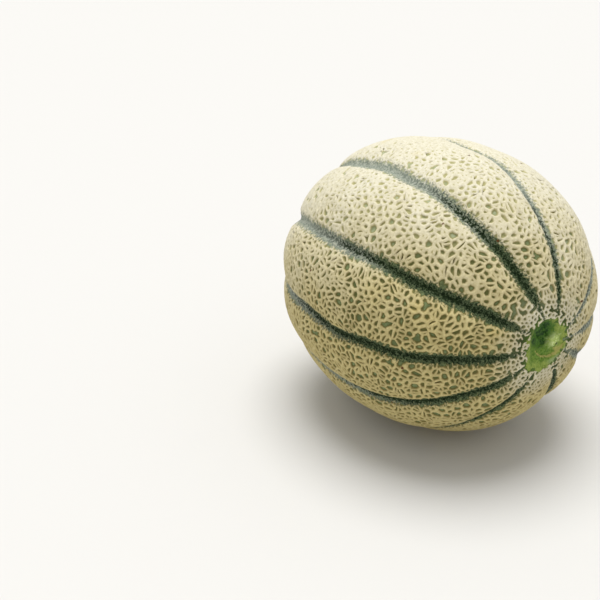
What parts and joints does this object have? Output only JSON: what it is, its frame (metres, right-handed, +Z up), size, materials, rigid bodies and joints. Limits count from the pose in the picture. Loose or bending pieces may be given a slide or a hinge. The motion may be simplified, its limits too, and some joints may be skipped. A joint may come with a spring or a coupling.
{
  "type": "cantaloupe melon",
  "caption": "Whole netted cantaloupe melon lying on its side: ribbed oval rind with dark sutures, raised cork net, green dished stem scar and flat ground spot.",
  "frame": {"origin": "under the middle of the melon, on the surface it rests on", "axes": "+X along the melon's long axis towards the stem end, +Z up from the ground spot"},
  "size_m": [0.1634, 0.1442, 0.1441],
  "materials": {
    "rind": "matte cream cork net over olive green skin, with dark blue-green sutures"
  },
  "bodies": {
    "root": {"melon": "rind"}
  },
  "joints": []
}
